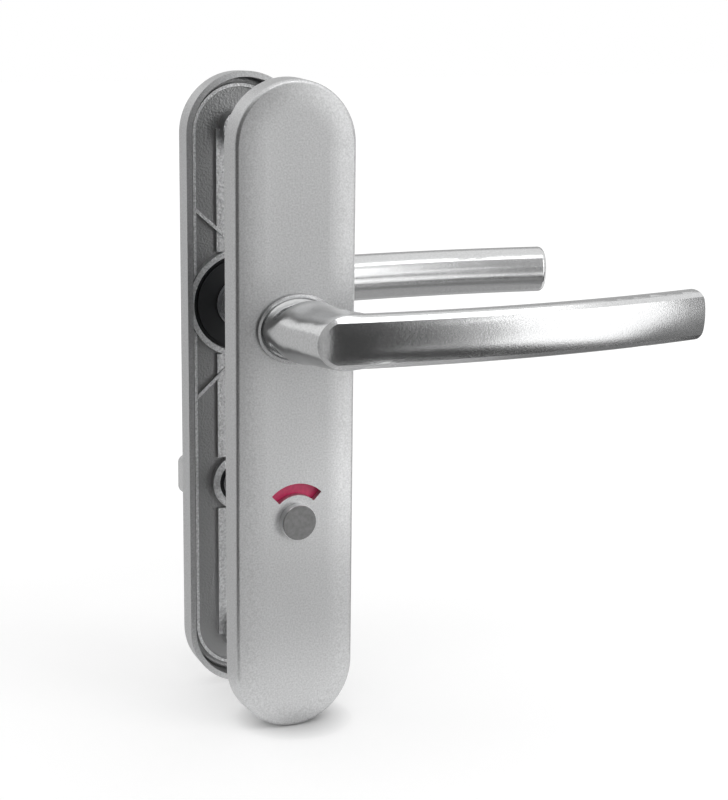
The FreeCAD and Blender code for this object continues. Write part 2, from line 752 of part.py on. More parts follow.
def make_neck():
    """The neck: oval sections from the foot to the front, leaning and flaring to the grip."""
    foot_front = size("plate_depth") + size("running_gap") + size("foot_plate")
    first = foot_front - size("foot_groove") - size("neck_bite")
    last = size("plate_depth") + size("grip_front") + size("neck_overrun")
    corner = size("shoulder_radius")
    half_foot = size("foot_width") / 2 - size("foot_step")
    high_foot = size("foot_height") / 2 - size("foot_step")
    high_grip = size("grip_height") / 2 + size("neck_cover")
    wires = []
    bow_drop = (size("grip_middle") - size("neck_shift")) ** 2 / (2 * size("grip_bow"))
    for share in NECK_SHARES:
        y = -(size("door_thickness") / 2 + first + (last - first) * share)
        left = -half_foot + size("neck_lean") * share
        middle = size("neck_shift") * share
        right = half_foot + size("neck_flare") * share**2.8
        behind_front = (last - first) * (1 - share) - size("neck_overrun") - bow_drop
        before_shoulder = max(0.0, size("grip_crown") - behind_front)
        shoulder_drop = corner - math.sqrt(corner**2 - before_shoulder**2)
        high = high_grip + (high_foot - high_grip) * (1 - share) ** 1.5 - shoulder_drop
        centre = FreeCAD.Vector(middle, y, 0)
        top = FreeCAD.Vector(middle, y, high)
        right_half = Part.Ellipse(FreeCAD.Vector(right, y, 0), top, centre)
        left_half = Part.Ellipse(FreeCAD.Vector(2 * middle - left, y, 0), top, centre)
        quarter = math.pi / 2
        edges = [
            Part.ArcOfEllipse(right_half, -quarter, quarter).toShape(),
            Part.ArcOfEllipse(left_half, quarter, 3 * quarter).toShape(),
        ]
        wires.append(Part.Wire(edges))
    neck = doc.addObject("Part::Feature", "neck")
    neck.Shape = Part.makeLoft(wires, True, False)
    return neck


def make_oval_disc(name, inset, start, thickness):
    """An oval disc about the lever's axis, smaller all round than the foot by its inset."""
    oval = doc.addObject("Part::Ellipse", f"{name}_oval")
    oval.setExpression("MajorRadius", f"Sizes.foot_width / 2 - ({inset})")
    oval.setExpression("MinorRadius", f"Sizes.foot_height / 2 - ({inset})")
    place_along_y(oval, f"-({depth(start)})")
    disc = doc.addObject("Part::Extrusion", name)
    disc.Base = oval
    disc.DirMode = "Custom"
    disc.Dir = FreeCAD.Vector(0, -1, 0)
    disc.Solid = True
    disc.setExpression("LengthFwd", thickness)
    return disc


def make_foot():
    """The oval flange that the neck stands on, with a fine groove round the neck."""
    foot_back = f"{FACE} + Sizes.running_gap"
    flange = make_oval_disc("foot_flange", "0", foot_back, "Sizes.foot_plate")
    groove = make_oval_disc(
        "foot_groove",
        "Sizes.foot_step - Sizes.foot_groove_width",
        f"{foot_back} + Sizes.foot_plate - Sizes.foot_groove",
        "Sizes.foot_groove",
    )
    return combine("Cut", "grooved_flange", flange, groove)


def bevel_left_end(neck):
    """The bevel round the left end of the flattened front."""
    doc.recompute()
    facet = next(face for face in neck.Shape.Faces if is_facet(face))
    left_end = min(facet.Edges, key=lambda edge: edge.BoundBox.XMin)
    number = next(n for n, edge in enumerate(neck.Shape.Edges, start=1) if edge.isSame(left_end))
    bevel = doc.addObject("Part::Chamfer", "neck_bevelled")
    bevel.Base = neck
    bevel.Edges = [(number, size("bevel_back"), size("bevel_front"))]
    return bevel


def is_facet(face):
    surface = face.Surface
    return hasattr(surface, "MinorRadius") and abs(surface.MinorRadius - size("facet_radius")) < 0.01


def make_journal():
    """The round journal behind the foot, with the clip's groove and the spring's notch."""
    body = new_body("journal")
    layers = {
        "shaft": (
            "Sizes.journal_radius",
            CLIP_TOP,
            f"{FACE} + Sizes.casting_overlap - ({CLIP_TOP})",
            True,
        ),
        "groove": (CLIP_INNER, CLIP_TOP, "Sizes.clip_thickness", False),
        "end": ("Sizes.journal_radius", CLIP_FOOT, "Sizes.journal_end", False),
    }
    for name, (radius, start, length, outward) in layers.items():
        layer = new_sketch(body, f"journal_{name}", depth(start))
        draw_circle(layer, "radius", radius)
        add_pad(body, layer, length, outward=outward)
    notch = new_sketch(body, "spring_notch", depth(FLOOR))
    draw_ring_sector(
        notch,
        "Sizes.journal_radius - Sizes.spring_bite - Sizes.spring_play",
        "Sizes.journal_radius + Sizes.casting_overlap",
        "Sizes.notch_half_angle",
        middle=size("spring_start"),
    )
    add_pocket(body, notch, GROOVE_DEPTH)
    return body


def make_lever():
    """The outside lever: bow, neck and foot in one casting, bored for its spindle."""
    envelope = make_front_envelope()
    neck = bevel_left_end(combine("Common", "neck_front", make_neck(), envelope))
    grip = combine("Common", "grip_front", make_grip(), envelope)
    front = combine("Fuse", "lever_front", neck, grip)
    base = combine("Fuse", "lever_base", make_foot(), make_journal())
    whole = combine("Fuse", "lever_solid", front, base)
    socket = make_square(
        "spindle_socket",
        "Sizes.spindle_square + 2 * Sizes.square_play",
        f"-({depth('Sizes.spindle_reach')} + Sizes.socket_play)",
        "-Sizes.door_thickness / 2",
    )
    drilled = combine("Cut", "lever_with_socket", whole, socket)
    hole = doc.addObject("Part::Cylinder", "grub_hole")
    hole.setExpression("Radius", "Sizes.grub_radius + Sizes.thread_play")
    hole.setExpression("Height", "Sizes.foot_height / 2")
    hole.setExpression("Placement.Base.y", GRUB_PLACE)
    hole.setExpression("Placement.Base.z", "-Sizes.foot_height / 2 - Sizes.spindle_square / 2")
    return combine("Cut", "outside_lever", drilled, hole)


def make_grub(name, radius, length, socket_radius, y_formula, top):
    """A set screw that stands upright under a spindle, with its hexagon socket below."""
    body = new_body(name)
    outline = new_sketch(body, f"{name}_outline", top, plane="XY_Plane", height=y_formula)
    draw_circle(outline, "radius", radius)
    add_pad(body, outline, length, outward=False)
    socket = new_sketch(
        body, f"{name}_socket", f"{top} - {length}", plane="XY_Plane", height=y_formula
    )
    draw_hexagon(socket, socket_radius)
    add_pocket(body, socket, f"{length} / 2", outward=True)
    return body


def draw_hexagon(sketch, radius):
    """A regular hexagon about the sketch's origin, by the radius of its corners."""
    corners = [
        FreeCAD.Vector(math.cos(math.pi * side / 3), math.sin(math.pi * side / 3), 0)
        for side in range(6)
    ]
    for start, end in zip(corners, corners[1:] + corners[:1]):
        sketch.addGeometry(Part.LineSegment(start, end))
    rim = sketch.addGeometry(Part.Circle(FreeCAD.Vector(0, 0, 0), FreeCAD.Vector(0, 0, 1), 1))
    sketch.setConstruction(rim, True)
    for side in range(6):
        constrain(sketch, "Coincident", side, 2, (side + 1) % 6, 1)
        constrain(sketch, "PointOnObject", side, 1, rim)
        if side:
            constrain(sketch, "Equal", 0, side)
    constrain(sketch, "Coincident", rim, 3, -1, 1)
    constrain(sketch, "PointOnObject", 0, 1, -1)
    measure(sketch, "corner_radius", radius, "Radius", rim, 1.0)


def make_spindle(name, side, low, high, height="0"):
    """A square bar through the door with chamfered ends."""
    body = new_body(name)
    outline = new_sketch(body, f"{name}_outline", f"-({high})", height=height)
    draw_rectangle(outline, side, side)
    bar = add_pad(body, outline, f"{high} - ({low})")
    doc.recompute()
    ends = [bar.Shape.BoundBox.YMin, bar.Shape.BoundBox.YMax]
    edges = [
        f"Edge{number}"
        for number, edge in enumerate(bar.Shape.Edges, start=1)
        if edge.BoundBox.YLength < 1e-4 and min(abs(edge.CenterOfMass.y - y) for y in ends) < 1e-4
    ]
    chamfer = body.newObject("PartDesign::Chamfer", f"{name}_ends")
    chamfer.Base = (bar, edges)
    chamfer.setExpression("Size", "Sizes.spindle_chamfer")
    return body


def make_button():
    """The release button: a plain round head and a shank with a square socket."""
    body = new_body("release_button")
    head = new_sketch(
        body, "button_head", depth(f"{FACE} + Sizes.collar_proud"), height=LOCK_HEIGHT
    )
    draw_circle(head, "radius", "Sizes.button_radius")
    cap = add_pad(body, head, "Sizes.button_proud - Sizes.collar_proud")
    rim = edges_at(cap, size("plate_depth") + size("button_proud"))
    add_fillet(body, cap, rim, "Sizes.button_round")
    shank = new_sketch(
        body, "button_shank", depth(f"{FACE} + Sizes.collar_proud"), height=LOCK_HEIGHT
    )
    draw_circle(shank, "radius", "Sizes.button_shank")
    add_pad(body, shank, f"{FACE} + Sizes.collar_proud - ({SHANK_END})", outward=False)
    add_square_socket(body, "button_socket", SHANK_END, "Sizes.lock_reach + Sizes.socket_play")
    return body


def add_square_socket(body, name, start, end):
    """A blind square hole for the lock's spindle, from the shank's end."""
    socket = new_sketch(body, name, depth(start), height=LOCK_HEIGHT)
    side = "Sizes.lock_square + 2 * Sizes.square_play"
    draw_rectangle(socket, side, side)
    add_pocket(body, socket, f"{end} - ({start})", outward=True)


def make_label():
    """The red label on the indicator disc, one quarter of its face."""
    body = new_body("indicator_red_label")
    sector = new_sketch(body, "label_sector", depth(DISC_FRONT), height=LOCK_HEIGHT)
    draw_ring_sector(
        sector,
        "Sizes.window_inner - Sizes.label_margin",
        "Sizes.window_outer + Sizes.label_margin",
        "Sizes.label_half_angle",
    )
    add_pad(body, sector, "Sizes.label_thickness")
    return body


def make_thumb_turn():
    """The thumb turn, as it would be outside: rose, neck, wing and grooved shank."""
    body = new_body("thumb_turn_mirrored")
    rose_foot = f"{FACE} + Sizes.collar_proud"
    neck_foot = f"{rose_foot} + Sizes.turn_rose_depth"
    wing_foot = f"{neck_foot} + Sizes.turn_neck"
    layers = {
        "rose": ("Sizes.turn_rose", rose_foot, "Sizes.turn_rose_depth", True),
        "neck": ("Sizes.turn_shank", neck_foot, "Sizes.turn_neck", True),
        "shank": ("Sizes.turn_shank", rose_foot, f"{rose_foot} - ({TURN_CLIP_TOP})", False),
        "groove": (TURN_CLIP_INNER, TURN_CLIP_TOP, "Sizes.small_clip", False),
        "tail": ("Sizes.turn_shank", TURN_CLIP_FOOT, "Sizes.journal_end", False),
    }
    for name, (radius, start, length, outward) in layers.items():
        layer = new_sketch(body, f"turn_{name}", depth(start), height=LOCK_HEIGHT)
        draw_circle(layer, "radius", radius)
        add_pad(body, layer, length, outward=outward)
    wing = new_sketch(body, "turn_wing", depth(wing_foot), height=LOCK_HEIGHT)
    draw_rectangle(wing, "Sizes.wing_length", "Sizes.wing_height")
    slab = add_pad(body, wing, "Sizes.wing_depth")
    doc.recompute()
    upright = [
        f"Edge{number}"
        for number, edge in enumerate(slab.Shape.Edges, start=1)
        if abs(edge.Length - size("wing_depth")) < 1e-3
        and abs(abs(edge.CenterOfMass.x) - size("wing_length") / 2) < 1e-3
    ]
    corners = add_fillet(body, slab, upright, "Sizes.wing_corner")
    wing_top = (
        size("plate_depth")
        + size("collar_proud")
        + size("turn_rose_depth")
        + size("turn_neck")
        + size("wing_depth")
    )
    add_fillet(body, corners, edges_at(corners, wing_top), "Sizes.wing_round")
    tail_end = f"{TURN_CLIP_FOOT} - Sizes.journal_end"
    add_square_socket(body, "turn_socket", tail_end, "Sizes.turn_reach + Sizes.socket_play")
    grub = new_sketch(
        body,
        "turn_grub_hole",
        f"{LOCK_HEIGHT} - Sizes.lock_square / 2",
        plane="XY_Plane",
        height=TURN_GRUB_PLACE,
    )
    draw_circle(grub, "radius", "Sizes.turn_grub_radius + Sizes.thread_play")
    add_pocket(body, grub, "Sizes.turn_shank", outward=False)
    return body


def make_screws():
    """Two countersunk screws from the inside plate into the outside plate's posts."""
    screws = []
    face = "(Sizes.door_thickness / 2 + Sizes.plate_depth)"
    end = "(Sizes.door_thickness / 2 - Sizes.post_reach + Sizes.screw_bite)"
    for place, height in SCREW_HEIGHTS.items():
        shank = make_cylinder(
            f"screw_shank_{place}", "Sizes.screw_radius", f"{face} + {end}", face, height
        )
        head = doc.addObject("Part::Cone", f"screw_head_{place}")
        head.setExpression("Radius1", "Sizes.screw_head")
        head.setExpression("Radius2", "Sizes.screw_radius")
        head.setExpression("Height", "Sizes.screw_head - Sizes.screw_radius")
        place_along_y(head, face, height)
        whole = combine("Fuse", f"screw_solid_{place}", shank, head)
        arms = ("Sizes.screw_cross", "Sizes.screw_cross_width")
        for number, (wide, tall) in enumerate((arms, arms[::-1]), start=1):
            slot = doc.addObject("Part::Box", f"screw_slot_{place}_{number}")
            slot.setExpression("Length", wide)
            slot.setExpression("Width", "Sizes.screw_cross_depth")
            slot.setExpression("Height", tall)
            slot.setExpression("Placement.Base.x", f"-({wide}) / 2")
            slot.setExpression("Placement.Base.y", f"{face} - Sizes.screw_cross_depth")
            slot.setExpression("Placement.Base.z", f"{height} - {tall} / 2")
            whole = combine("Cut", f"screw_{place}_{number}", whole, slot)
        screws.append(whole)
    group = doc.addObject("Part::Compound", "fixing_screws")
    group.Label = "fixing_screws"
    group.Links = screws
    return group


COLLAR = "Sizes.journal_radius + Sizes.bearing_play + Sizes.collar_wall"
BUTTON_HOLE = "Sizes.button_shank + Sizes.bearing_play"
SCREW_HOLE = "Sizes.screw_radius + Sizes.hole_play"
NECK_SHARES = (0.0, 0.17, 0.34, 0.51, 0.64, 0.72, 0.76, 0.80, 0.84, 0.88)
SCREW_HEIGHTS = {
    "upper": "(Sizes.plate_top - Sizes.upper_inset)",
    "lower": "(Sizes.lower_inset - Sizes.plate_foot)",
}
GROOVE_DEPTH = "(2 * Sizes.spring_wire + 2 * Sizes.spring_play)"
SPRING_TIP = "(Sizes.cassette_radius - Sizes.spring_inset)"
CASSETTE_TOP = f"({FLOOR} - Sizes.cassette_depth)"
WASHER_FOOT = f"({CASSETTE_TOP} - Sizes.running_gap - Sizes.washer_thickness)"
CLIP_TOP = WASHER_FOOT
CLIP_FOOT = f"({CLIP_TOP} - Sizes.clip_thickness)"
CLIP_INNER = "(Sizes.journal_radius - Sizes.clip_bite)"
GRUB_PLACE = f"-({depth(FACE)} + Sizes.grub_place)"
DISC_FRONT = f"({FLOOR} - Sizes.running_gap - Sizes.label_thickness)"
DISC_BACK = f"({DISC_FRONT} - Sizes.indicator_thickness)"
SHANK_END = f"({DISC_BACK} - Sizes.small_clip - Sizes.shank_end)"
BUSH_FOOT = f"({FLOOR} - Sizes.turn_boss_rise)"
TURN_CLIP_TOP = f"({BUSH_FOOT} - Sizes.running_gap)"
TURN_CLIP_FOOT = f"({TURN_CLIP_TOP} - Sizes.small_clip)"
TURN_CLIP_INNER = "(Sizes.turn_shank - Sizes.clip_bite)"
TURN_GRUB_PLACE = (
    f"-({depth(FACE)} + Sizes.collar_proud + Sizes.turn_rose_depth + Sizes.turn_neck / 2)"
)

nodes = {}
nodes["outside_plate"] = make_outside_plate()
nodes["inside_plate"] = make_inside_plate()
nodes["fixing_screws"] = make_screws()

pairs = {
    "lever": make_lever(),
    "bearing": make_bearing(),
    "return_spring": make_spring(),
    "washer": ring_piece(
        "outside_washer",
        "Sizes.journal_radius + Sizes.bearing_play",
        "Sizes.washer_radius",
        WASHER_FOOT,
        "Sizes.washer_thickness",
    ),
    "circlip": clip_piece("outside_circlip", CLIP_INNER, CLIP_FOOT, "Sizes.clip_thickness"),
    "grub_screw": make_grub(
        "outside_grub_screw",
        "Sizes.grub_radius",
        "(Sizes.foot_height / 2 - Sizes.grub_inset - Sizes.spindle_square / 2 - Sizes.thread_play)",
        "Sizes.grub_socket",
        GRUB_PLACE,
        "-(Sizes.spindle_square / 2 + Sizes.thread_play)",
    ),
}
for name, outside in pairs.items():
    nodes[f"outside_{name}"] = outside
    nodes[f"inside_{name}"] = mirror_inside(outside, f"inside_{name}")

nodes["lever_spindle"] = make_spindle(
    "lever_spindle",
    "Sizes.spindle_square",
    f"-({depth('Sizes.spindle_reach')})",
    depth("Sizes.spindle_reach"),
)
nodes["lock_spindle"] = make_spindle(
    "lock_spindle",
    "Sizes.lock_square",
    f"-({depth('Sizes.lock_reach')})",
    depth("Sizes.turn_reach"),
    LOCK_HEIGHT,
)

nodes["release_button"] = make_button()
nodes["indicator_disc"] = ring_piece(
    "indicator_disc",
    BUTTON_HOLE,
    "Sizes.indicator_radius",
    DISC_BACK,
    "Sizes.indicator_thickness",
    LOCK_HEIGHT,
)
nodes["indicator_red_label"] = make_label()
nodes["release_clip"] = clip_piece(
    "release_clip",
    BUTTON_HOLE,
    f"{DISC_BACK} - Sizes.small_clip",
    "Sizes.small_clip",
    LOCK_HEIGHT,
)

inside_only = {
    "thumb_turn": make_thumb_turn(),
    "thumb_turn_bush": ring_piece(
        "thumb_turn_bush_mirrored",
        "Sizes.turn_shank + Sizes.bearing_play",
        "Sizes.bush_radius",
        BUSH_FOOT,
        "Sizes.face_thickness + Sizes.turn_boss_rise",
        LOCK_HEIGHT,
    ),
    "thumb_turn_clip": clip_piece(
        "thumb_turn_clip_mirrored",
        TURN_CLIP_INNER,
        TURN_CLIP_FOOT,
        "Sizes.small_clip",
        LOCK_HEIGHT,
    ),
    "thumb_turn_grub": make_grub(
        "thumb_turn_grub_mirrored",
        "Sizes.turn_grub_radius",
        "Sizes.turn_grub_length",
        "Sizes.turn_grub_socket",
        TURN_GRUB_PLACE,
        f"{LOCK_HEIGHT} - Sizes.lock_square / 2 - Sizes.thread_play",
    ),
}
for name, mirrored in inside_only.items():
    nodes[name] = mirror_inside(mirrored, name)

doc.recompute()
for item in doc.Objects:
    if {"Invalid", "Error"} & set(item.State):
        raise ValueError(f"{item.Name} did not build: {item.State}")
for name, item in nodes.items():
    shape = item.Shape
    if shape.isNull() or not shape.isValid() or not shape.Solids:
        raise ValueError(f"{name} is not a valid solid")
    shape.exportStep(f"parts/{name}.step")
    print(f"{name}: {len(shape.Solids)} solid, {shape.Volume:.0f} mm3")
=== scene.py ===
# %% [markdown]
# # A pair of bathroom door handles
#
# On the real thing two cast plates clamp a door between them, two lever handles sit on one
# square spindle, and a thinner spindle joins a thumb turn to a release button. All of it is
# hard: castings, steel and moulded plastic. The shapes could be modelled again here, but the
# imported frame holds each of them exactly, so it is better to keep them. This lesson gives
# them their finishes, a table, a light and a camera.
# The unit is the metre. +X runs along the levers, -Y is the outside of the door, +Z is up.

import math

import bpy
from mathutils import Matrix, Vector


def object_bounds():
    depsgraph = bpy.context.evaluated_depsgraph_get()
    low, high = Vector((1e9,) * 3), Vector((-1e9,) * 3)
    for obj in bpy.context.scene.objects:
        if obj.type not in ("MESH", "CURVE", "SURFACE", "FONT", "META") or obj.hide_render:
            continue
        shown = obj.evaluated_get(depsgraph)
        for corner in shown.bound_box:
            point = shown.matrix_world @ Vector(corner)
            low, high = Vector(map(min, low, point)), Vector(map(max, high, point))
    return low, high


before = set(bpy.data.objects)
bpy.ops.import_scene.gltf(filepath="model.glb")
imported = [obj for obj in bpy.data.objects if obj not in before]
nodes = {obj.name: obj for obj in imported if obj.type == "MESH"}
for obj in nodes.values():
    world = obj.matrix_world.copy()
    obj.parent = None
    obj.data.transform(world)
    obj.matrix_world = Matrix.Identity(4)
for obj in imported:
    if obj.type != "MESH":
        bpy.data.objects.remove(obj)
cad_low, cad_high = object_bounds()

# %% [markdown]
# ## The camera
#
# The photograph looks at the outside plate from the left and a little above. A camera could
# be turned by three angles, but those are hard to find one by one. A place, a point that it
# looks at, and a small roll about that line can each be set on its own. The lens then
# follows from how many pixels of the picture make one radian.

# %% Place the camera
PICTURE_LONG_SIDE = 800
FOCAL_PIXELS = 1811.9
SENSOR_WIDTH = 36.0
NEAREST_SEEN = 0.01
FARTHEST_SEEN = 50.0
CAMERA_PLACE = Vector((-0.2473, -0.6217, 0.1238))
CAMERA_TARGET = Vector((0.0412, 0.0, -0.03665))
CAMERA_ROLL = math.radians(0.718)


def aim_at(place, target):
    """The matrix of a camera or lamp that stands at a place and looks at a target."""
    turn = (target - place).to_track_quat("-Z", "Y").to_matrix().to_4x4()
    return Matrix.Translation(place) @ turn


def add_camera():
    """The photograph's camera, as the scene's own."""
    data = bpy.data.cameras.new("camera")
    data.sensor_width = SENSOR_WIDTH
    data.lens = FOCAL_PIXELS * SENSOR_WIDTH / PICTURE_LONG_SIDE
    data.clip_start = NEAREST_SEEN
    data.clip_end = FARTHEST_SEEN
    camera = bpy.data.objects.new("camera", data)
    roll = Matrix.Rotation(CAMERA_ROLL, 4, "Z")
    camera.matrix_world = aim_at(CAMERA_PLACE, CAMERA_TARGET) @ roll
    bpy.context.scene.collection.objects.link(camera)
    bpy.context.scene.camera = camera
    return camera


camera = add_camera()
print("lens in mm:", round(camera.data.lens, 2))

# %% [markdown]
# ## A small kit for materials
#
# Cast metal, moulded plastic and drawn wire all have a grain. It could be painted into an
# image, but an image has to be wrapped round every piece and is blurred close up. Noise in
# object space needs no wrapping and has the same size on every piece, so each material here
# gets its grain that way. What is the same all over a surface is set on the shader itself.

# %% Start a material
METAL = 1.0
PLASTIC = 0.0


def opaque(colour):
    """A colour with the fourth value that Blender's colour sockets want."""
    return (*colour, 1.0)


def new_material(name, colour, metallic, roughness):
    """A material with one shader, and that shader."""
    material = bpy.data.materials.new(name)
    material.use_nodes = True
    shader = material.node_tree.nodes["Principled BSDF"]
    shader.inputs["Base Color"].default_value = opaque(colour)
    shader.inputs["Metallic"].default_value = metallic
    shader.inputs["Roughness"].default_value = roughness
    return material, shader


print("metallic is", METAL, "for metal and", PLASTIC, "for plastic")

# %% [markdown]
# ## Grain from noise
#
# A grain shows in three ways: as colour that wanders between two tones, as roughness that
# wanders between two values, and as tiny bumps. One noise can drive all three, and then they
# fit each other. Noise seldom leaves the middle of its range, so that middle is stretched.

# %% Noise
NOISE_DETAIL = 3.0


def add_noise(material, size, detail=NOISE_DETAIL):
    """Noise whose grains are about size across, in metres."""
    tree = material.node_tree
    place = tree.nodes.new("ShaderNodeTexCoord")
    noise = tree.nodes.new("ShaderNodeTexNoise")
    noise.inputs["Scale"].default_value = 1.0 / size
    noise.inputs["Detail"].default_value = detail
    tree.links.new(place.outputs["Object"], noise.inputs["Vector"])
    return noise.outputs["Fac"]


print("noise has detail:", NOISE_DETAIL)

# %% Values and colours from a noise
NOISE_LOW = 0.3
NOISE_HIGH = 0.7


def spread(material, noise, low, high):
    """A value that wanders from low to high with a noise."""
    tree = material.node_tree
    node = tree.nodes.new("ShaderNodeMapRange")
    node.inputs["From Min"].default_value = NOISE_LOW
    node.inputs["From Max"].default_value = NOISE_HIGH
    node.inputs["To Min"].default_value = low
    node.inputs["To Max"].default_value = high
    tree.links.new(noise, node.inputs["Value"])
    return node.outputs["Result"]


def tone(material, noise, dark, light):
    """A colour that wanders from dark to light with a noise."""
    tree = material.node_tree
    node = tree.nodes.new("ShaderNodeValToRGB")
    ends = ((NOISE_LOW, dark), (NOISE_HIGH, light))
    for stop, (position, colour) in zip(node.color_ramp.elements, ends):
        stop.position = position
        stop.color = opaque(colour)
    tree.links.new(noise, node.inputs["Fac"])
    return node.outputs["Color"]


print("noise is stretched from:", NOISE_LOW, "to", NOISE_HIGH)


# %% Bumps from a noise
def add_bumps(material, shader, layers):
    """Bumps on the shader's normal, one layer on the other: a source, a depth, a strength."""
    tree = material.node_tree
    below = None
    for source, depth, strength in layers:
        bump = tree.nodes.new("ShaderNodeBump")
        bump.inputs["Distance"].default_value = depth
        bump.inputs["Strength"].default_value = strength
        tree.links.new(source, bump.inputs["Height"])
        if below is not None:
            tree.links.new(below, bump.inputs["Normal"])
        below = bump.outputs["Normal"]
    tree.links.new(below, shader.inputs["Normal"])


print("helpers for grain: add_noise, spread, tone, add_bumps")

# %% [markdown]
# ## The side towards the door
#
# Each plate is one casting with two finishes. The side that shows is blasted and silvered,
# and the side towards the door stays as it came out of the mould. The tops of its ribs get a
# painted highlight, lighter than the raw floor round them. Two materials would need the faces
# sorted by hand. One material can hold both, if it knows on which side a point lies, and it
# can reckon that out. The middle of the door is the plane Y = 0. A point faces the door where
# its Y and its normal's Y have opposite signs, so that their product is below zero. It lies
# behind the plate's rim, or on top of a rib, by how far it is from that plane.

# %% Arithmetic with nodes
def feed(tree, value, socket):
    """Give a socket its value: another node's output, or a number or colour."""
    if isinstance(value, bpy.types.NodeSocket):
        tree.links.new(value, socket)
    else:
        socket.default_value = value


def reckon(tree, operation, first, second=None):
    """One step of arithmetic on a socket, with another socket or a number."""
    node = tree.nodes.new("ShaderNodeMath")
    node.operation = operation
    tree.links.new(first, node.inputs[0])
    if second is not None:
        feed(tree, second, node.inputs[1])
    return node.outputs["Value"]


def take_y(tree, source):
    """The Y of a place or a normal."""
    node = tree.nodes.new("ShaderNodeSeparateXYZ")
    tree.links.new(source, node.inputs["Vector"])
    return node.outputs["Y"]


print("helpers for arithmetic: feed, reckon, take_y")

# %% Find the side towards the door
RIM_DEPTH = 0.0203
RIB_DEPTH = 0.0282
DOOR_SIDE = -0.0001
FLAT_SIDE = -0.02


def door_sides(material):
    """Two masks: 1 on the raw surface inside a plate, and 1 on the rib tops, for their painted
    highlight.
    """
    tree = material.node_tree
    place = tree.nodes.new("ShaderNodeTexCoord")
    surface = tree.nodes.new("ShaderNodeNewGeometry")
    place_y = take_y(tree, place.outputs["Object"])
    normal_y = take_y(tree, surface.outputs["Normal"])
    facing = reckon(tree, "MULTIPLY", place_y, normal_y)
    to_door = reckon(tree, "LESS_THAN", facing, DOOR_SIDE)
    flat_to_door = reckon(tree, "LESS_THAN", facing, FLAT_SIDE)
    depth = reckon(tree, "ABSOLUTE", place_y)
    behind_rim = reckon(tree, "GREATER_THAN", depth, RIM_DEPTH)
    before_floor = reckon(tree, "LESS_THAN", depth, RIB_DEPTH)
    raw = reckon(tree, "MULTIPLY", to_door, behind_rim)
    # the raised rib tops: flat, facing the door and nearer to it than the floor; they get a
    # painted highlight
    high = reckon(tree, "MULTIPLY", flat_to_door, before_floor)
    return raw, reckon(tree, "MULTIPLY", raw, high)


print("raw surface starts at a depth of:", RIM_DEPTH)

# %% [markdown]
# ## Two finishes by a mask
#
# A mask is no use until something is chosen by it. Two whole shaders could be mixed, which
# costs twice the work for every ray. It is cheaper to mix the few values that differ, the
# colour, the roughness and the height of the bumps, and to have one shader.

# %% Choose by a mask
def choose(material, mask, outside, inside, kind="FLOAT"):
    """The first value, or the second one where the mask is 1."""
    tree = material.node_tree
    node = tree.nodes.new("ShaderNodeMix")
    node.data_type = kind
    tree.links.new(mask, node.inputs["Factor"])
    feed(tree, outside, node.inputs["A"])
    feed(tree, inside, node.inputs["B"])
    return node.outputs["Result"]


def choose_colour(material, mask, outside, inside):
    """The first colour, or the second one where the mask is 1."""
    return choose(material, mask, outside, inside, kind="RGBA")


print("helpers for two finishes: choose, choose_colour")

# %% [markdown]
# ## Cast plate
#
# The plates are cast aluminium. Beads are shot at the outside, which leaves a fine even
# grain with soft clouds in how dull it is. The inside has the lumps of the mould, and is
# darker, and the tops of its ribs get a painted highlight, since they stand higher and catch
# more light than the floor. A grain this fine could be real geometry, but that would take
# millions of faces, and bumps look the same.

# %% Silver greys
COOL = (1.0, 1.005, 1.01)


def grey(value):
    """A grey with a breath of blue in it, as silvered metal has."""
    return tuple(value * share for share in COOL)


print("half grey is:", grey(0.5))

# %% Colour of the plates
PLATE_GREY = 0.64
BLAST_DARK = 0.84
BLAST_LIGHT = 1.10
RAW_GREY = 0.38
# a painted highlight on the rib tops, which stand higher and catch more light than the floor
RIB_HIGHLIGHT_GREY = 0.98
RIB_HIGHLIGHT_DARK = 0.6


def plate_colour(material, inside, rib_highlight_mask, fine, coarse):
    """Blasted silver outside, dark raw metal inside, and a painted highlight on the rib tops."""
    blasted = tone(material, fine, grey(PLATE_GREY * BLAST_DARK), grey(PLATE_GREY * BLAST_LIGHT))
    # painted highlight: the rib tops are made lighter than the raw floor round them
    painted_rib_highlight = tone(material, coarse, grey(RIB_HIGHLIGHT_GREY * RIB_HIGHLIGHT_DARK), grey(RIB_HIGHLIGHT_GREY))
    with_raw = choose_colour(material, inside, blasted, opaque(grey(RAW_GREY)))
    return choose_colour(material, rib_highlight_mask, with_raw, painted_rib_highlight)


print("plates: outside", PLATE_GREY, "inside", RAW_GREY, "ribs", RIB_HIGHLIGHT_GREY)

# %% Cast plate
BLAST_GRAIN = 0.00065
BLAST_CLOUDS = BLAST_GRAIN * 12
BLAST_ROUGH = (0.42, 0.45)
BLAST_DEPTH = 0.00004
BLAST_STRENGTH = 0.6
RAW_ROUGH = 0.42
RAW_GRAIN = 0.0009
RAW_DETAIL = 5.0
RAW_DEPTH = 0.00032
RAW_STRENGTH = 0.7
NO_BUMP = 0.5


def cast_plate(name):
    """The material of both plates."""
    material, shader = new_material(name, grey(PLATE_GREY), METAL, RAW_ROUGH)
    tree = material.node_tree
    inside, rib_highlight_mask = door_sides(material)
    fine = add_noise(material, BLAST_GRAIN)
    clouds = add_noise(material, BLAST_CLOUDS)
    coarse = add_noise(material, RAW_GRAIN, RAW_DETAIL)
    colour = plate_colour(material, inside, rib_highlight_mask, fine, coarse)
    tree.links.new(colour, shader.inputs["Base Color"])
    rough = choose(material, inside, spread(material, clouds, *BLAST_ROUGH), RAW_ROUGH)
    tree.links.new(rough, shader.inputs["Roughness"])
    grain = choose(material, inside, fine, NO_BUMP)
    lumps = choose(material, inside, NO_BUMP, coarse)
    layers = [(lumps, RAW_DEPTH, RAW_STRENGTH), (grain, BLAST_DEPTH, BLAST_STRENGTH)]
    add_bumps(material, shader, layers)
    return material


